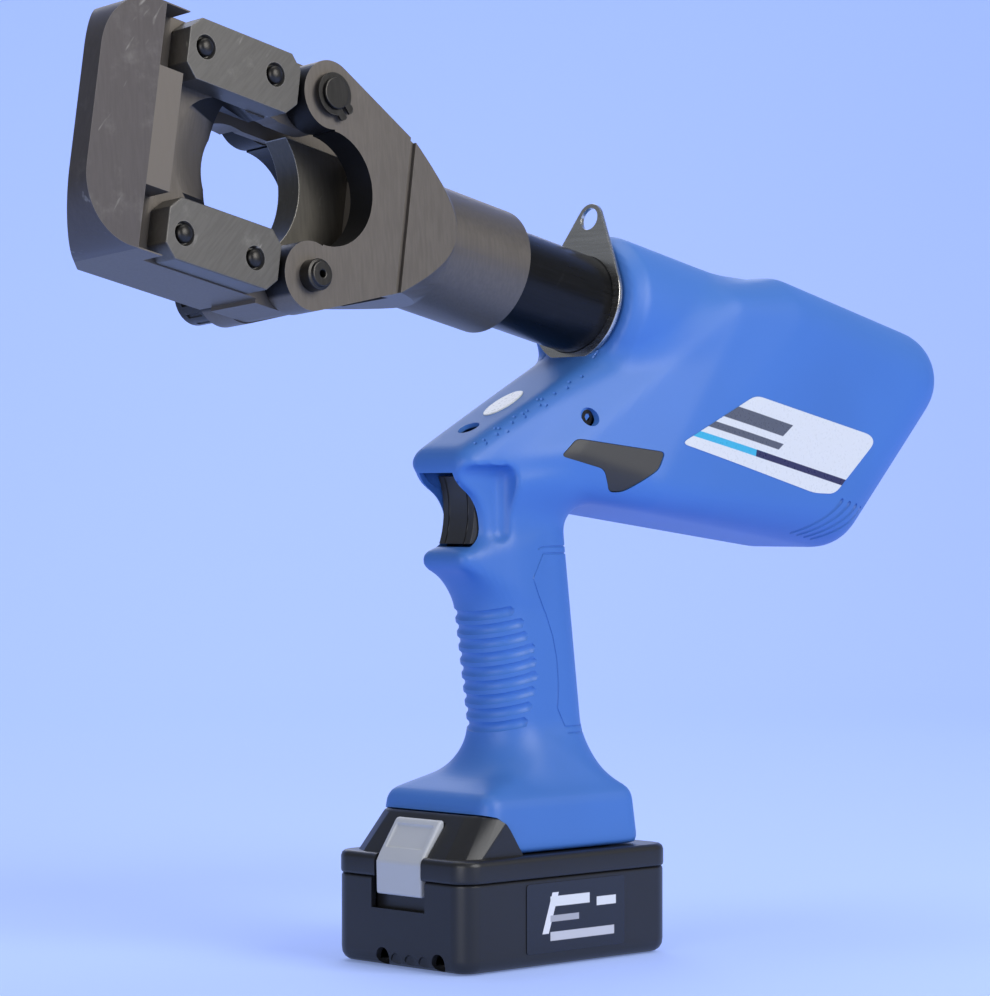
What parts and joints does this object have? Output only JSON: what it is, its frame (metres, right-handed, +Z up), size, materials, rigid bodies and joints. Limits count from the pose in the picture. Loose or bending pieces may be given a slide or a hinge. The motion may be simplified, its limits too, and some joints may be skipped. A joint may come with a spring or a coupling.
{
  "type": "battery hydraulic rebar and cable cutter",
  "caption": "Pistol-grip battery hydraulic cutter with a swivelling latched cutting head, sliding blade, hanging ring and slide-on battery.",
  "frame": {"origin": "centre of the battery's bottom face, on the surface the tool stands on", "axes": "+Z up, cutting head towards -X, release button on the -Y side"},
  "size_m": [0.474, 0.0783, 0.3647],
  "materials": {
    "blue_shell": "moulded matte blue plastic",
    "label": "printed film",
    "badge": "printed film",
    "lens": "clear lens",
    "black_plastic": "moulded",
    "spring_steel": "drawn wire",
    "circuit_board": "board",
    "red_wire": "sleeve",
    "zinc_plate": "plated",
    "cast_alloy": "machined casting",
    "bronze": "sintered",
    "dark_steel": "blackened",
    "rubber": "moulded",
    "copper": "drawn",
    "ground_steel": "ground",
    "black_steel": "black oxide, satin",
    "brown_steel": "browned satin steel",
    "block_steel": "scratched satin steel",
    "plate_steel": "ground, worn edges",
    "blade_steel": "ground edge",
    "grey_plastic": "fine grain",
    "stainless": "brushed",
    "black_case": "fine grain",
    "cell_wrap": "shrink sleeve",
    "dark_label": "printed film",
    "pale_plastic": "satin"
  },
  "bodies": {
    "housing": {"housing_left": "blue_shell", "housing_right": "blue_shell", "housing_screws": "dark_steel", "side_label_left": "label", "side_label_right": "label", "inspection_badge": "badge", "led_lens": "lens", "trigger_switch": "black_plastic", "trigger_spring": "spring_steel", "release_switch": "black_plastic", "release_spring": "spring_steel", "control_board": "circuit_board", "terminal_block": "black_plastic", "wire_harness": "red_wire", "motor_can": "zinc_plate", "gearbox_case": "cast_alloy", "pump_block": "cast_alloy", "plunger_spring": "spring_steel", "cam_bushes": "bronze", "relief_valve": "dark_steel", "oil_bladder": "rubber"},
    "head": {"cylinder_tube": "black_steel", "yoke": "brown_steel", "hinge_pin": "dark_steel", "hinge_circlips": "dark_steel", "ram_spring": "spring_steel", "rod_wiper": "rubber"},
    "latch_head": {"front_frame": "block_steel", "fixed_blade": "brown_steel", "guide_plate_upper": "plate_steel", "guide_plate_lower": "plate_steel", "plate_screws": "dark_steel"},
    "latch_bolt": {"latch_pin": "dark_steel", "latch_knob": "dark_steel"},
    "ram": {"ram": "ground_steel", "piston_seal": "rubber", "blade_holder": "block_steel", "moving_blade": "blade_steel", "blade_bolts": "dark_steel"},
    "trigger": {"trigger": "grey_plastic"},
    "release": {"release_button": "grey_plastic"},
    "ring": {"hanging_ring": "stainless"},
    "motor": {"motor_rotor": "copper", "cooling_fan": "black_plastic", "motor_pinion": "ground_steel"},
    "cam": {"camshaft": "ground_steel", "cam_bearing": "ground_steel", "drive_gear": "ground_steel"},
    "plunger": {"pump_plunger": "ground_steel"},
    "battery": {"battery_lower_case": "black_case", "battery_upper_case": "black_case", "battery_cells": "cell_wrap", "cell_straps": "zinc_plate", "battery_board": "circuit_board", "battery_contacts": "copper", "battery_label": "dark_label", "battery_screws": "zinc_plate", "button_spring": "spring_steel"},
    "battery_button": {"battery_button": "pale_plastic"}
  },
  "joints": [
    {"name": "head_turn", "type": "hinge", "parent": "housing", "child": "head", "pos_m": [-0.027, 0, 0.279], "axis": [0.9774, 0, -0.2113], "range_deg": [-175, 175]},
    {"name": "latch_swing", "type": "hinge", "parent": "head", "child": "latch_head", "pos_m": [-0.11287, 0.00309, 0.33375], "axis": [-0.0184, 0.9962, -0.0852], "range_deg": [0, 100]},
    {"name": "latch_pin_pull", "type": "slide", "parent": "head", "child": "latch_bolt", "axis": [-0.0184, 0.9962, -0.0852], "range_m": [0, 0.046]},
    {"name": "ram_stroke", "type": "slide", "parent": "head", "child": "ram", "axis": [-0.9774, 0, 0.2113], "range_m": [0, 0.052], "deforming": ["ram_spring"]},
    {"name": "trigger_pull", "type": "slide", "parent": "housing", "child": "trigger", "axis": [1, 0, 0], "range_m": [0, 0.006], "stiffness_N_per_m": 800, "springref_m": -0.003, "deforming": ["trigger_spring"]},
    {"name": "release_press", "type": "slide", "parent": "housing", "child": "release", "axis": [0, 1, 0], "range_m": [0, 0.0025], "stiffness_N_per_m": 1500, "springref_m": -0.002, "deforming": ["release_spring"]},
    {"name": "ring_turn", "type": "hinge", "parent": "housing", "child": "ring", "pos_m": [-0.027, 0, 0.279], "axis": [0.9774, 0, -0.2113], "range_deg": [-95, 95]},
    {"name": "motor_spin", "type": "hinge", "parent": "housing", "child": "motor", "pos_m": [-0.027, 0, 0.279], "axis": [0.9774, 0, -0.2113], "continuous": true},
    {"name": "cam_spin", "type": "hinge", "parent": "housing", "child": "cam", "pos_m": [-0.03207, 0, 0.25554], "axis": [0.9774, 0, -0.2113], "continuous": true},
    {"name": "plunger_lift", "type": "slide", "parent": "housing", "child": "plunger", "axis": [0.2113, 0, 0.9774], "range_m": [0, 0.003], "stiffness_N_per_m": 1500, "springref_m": -0.002, "deforming": ["plunger_spring"]},
    {"name": "battery_slide", "type": "slide", "parent": "housing", "child": "battery", "axis": [-1, 0, 0], "range_m": [0, 0.08]},
    {"name": "battery_button_press", "type": "slide", "parent": "battery", "child": "battery_button", "axis": [0, 0, -1], "range_m": [0, 0.005], "stiffness_N_per_m": 1000, "springref_m": -0.003, "deforming": ["button_spring"]}
  ],
  "couplings": [
    {"joint": "cam_spin", "follows": "motor_spin", "ratio": -0.25}
  ]
}
